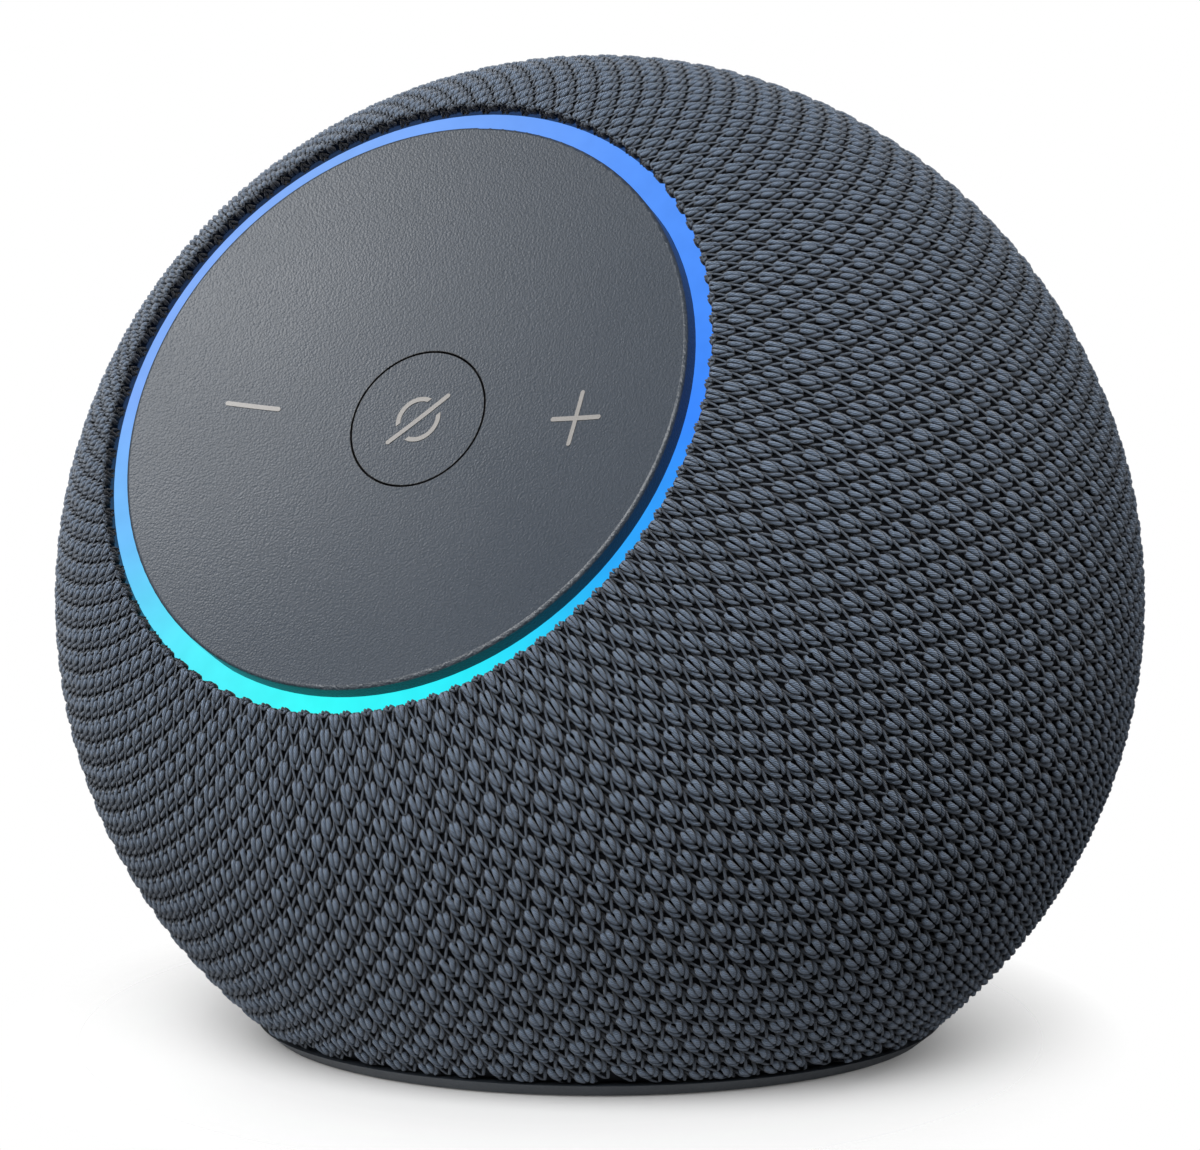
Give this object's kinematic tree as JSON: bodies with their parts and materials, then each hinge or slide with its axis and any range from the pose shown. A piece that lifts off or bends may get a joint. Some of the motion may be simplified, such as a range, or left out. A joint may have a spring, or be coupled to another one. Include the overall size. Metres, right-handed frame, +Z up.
{
  "type": "smart home hub",
  "caption": "Ball-shaped knit-covered smart home hub with a tilted dished control panel, a mute button, a glowing ring and a flat foot.",
  "frame": {"origin": "centre of the foot, on the plane that the hub stands on", "axes": "+Z up; the face looks towards -Y, tilted 30.3 degrees up; +X is towards the plus icon; the power inlet is on the +Y side"},
  "size_m": [0.1086, 0.1084, 0.0976],
  "materials": {
    "knit": "chunky spacer knit, dark slate blue",
    "panel_plastic": "fine leather grain, matt",
    "icon_plastic": "smooth, light warm grey",
    "diffuser": "milky light guide, lit blue to cyan",
    "white_plastic": "moulded, satin",
    "led_white": "clear top",
    "circuit_board": "solder mask",
    "black_plastic": "moulded, fine spark texture",
    "dark_plastic": "smooth satin",
    "shell_plastic": "moulded, fine spark texture",
    "silicone": "soft, matt",
    "foam_rubber": "soft, matt",
    "sole_rubber": "matt, non-slip",
    "steel": "pressed, tinned",
    "screw_steel": "black zinc",
    "basket_steel": "black powder coat",
    "ferrite": "sintered, matt",
    "copper": "enamelled copper winding",
    "cone_paper": "pressed pulp, black",
    "spider_cloth": "resin-stiffened cloth",
    "aluminium": "die cast, bead blasted",
    "chip_black": "moulded epoxy",
    "capacitor_can": "drawn can",
    "lead_black": "wire jacket"
  },
  "bodies": {
    "housing": {"knit_cover": "knit", "light_ring": "diffuser", "led_reflector": "white_plastic", "leds": "led_white", "face_board": "circuit_board", "panel_carrier": "black_plastic", "keypad_mat": "silicone", "microphones": "steel", "face_frame": "black_plastic", "knit_retainer": "dark_plastic", "face_screws": "screw_steel", "shell_screws": "screw_steel", "baffle": "black_plastic", "woofer_gasket": "foam_rubber", "woofer_basket": "basket_steel", "woofer_magnet": "ferrite", "woofer_yoke": "steel", "woofer_surround": "foam_rubber", "woofer_spider": "spider_cloth", "woofer_screws": "screw_steel", "tweeter_housing": "black_plastic", "tweeter_magnet": "steel", "front_shell": "shell_plastic", "rear_shell": "shell_plastic", "base_plate": "dark_plastic", "rubber_sole": "sole_rubber", "base_screws": "screw_steel", "main_board": "circuit_board", "board_screws": "screw_steel", "shield_can": "steel", "processor": "chip_black", "thermal_pad": "silicone", "heat_spreader": "aluminium", "capacitors": "capacitor_can", "inductors": "ferrite", "chips": "chip_black", "board_connectors": "white_plastic", "inlet_shell": "steel", "inlet_tongue": "chip_black", "rear_bezel": "dark_plastic", "antennas": "circuit_board", "speaker_chamber": "black_plastic", "woofer_terminal": "white_plastic", "ribbon_cable": "white_plastic", "speaker_leads": "lead_black", "lead_grommet": "foam_rubber"},
    "volume_panel": {"control_panel": "panel_plastic", "minus_icon": "icon_plastic", "plus_icon": "icon_plastic"},
    "mute_key": {"mute_button": "panel_plastic", "mute_icon": "icon_plastic"},
    "woofer_diaphragm": {"woofer_cone": "cone_paper", "dust_cap": "cone_paper", "voice_coil": "copper"},
    "tweeter_diaphragm": {"tweeter_dome": "spider_cloth"}
  },
  "joints": [
    {"name": "volume_rock", "type": "hinge", "parent": "housing", "child": "volume_panel", "pos_m": [0, -0.0335, 0.06288], "axis": [0, 0.5045, 0.8634], "range_deg": [-0.8, 0.8], "stiffness_Nm_per_rad": 3, "deforming": ["keypad_mat"]},
    {"name": "mute_press", "type": "slide", "parent": "housing", "child": "mute_key", "axis": [0, 0.8634, -0.5045], "range_m": [0, 0.0005], "stiffness_N_per_m": 2500, "deforming": ["keypad_mat"]},
    {"name": "woofer_excursion", "type": "slide", "parent": "housing", "child": "woofer_diaphragm", "axis": [0, -0.8634, 0.5045], "range_m": [-0.002, 0.002], "stiffness_N_per_m": 1500, "deforming": ["woofer_surround", "woofer_spider"]},
    {"name": "tweeter_excursion", "type": "slide", "parent": "housing", "child": "tweeter_diaphragm", "axis": [0, -0.8634, 0.5045], "range_m": [-0.00025, 0.00025], "stiffness_N_per_m": 1500}
  ]
}
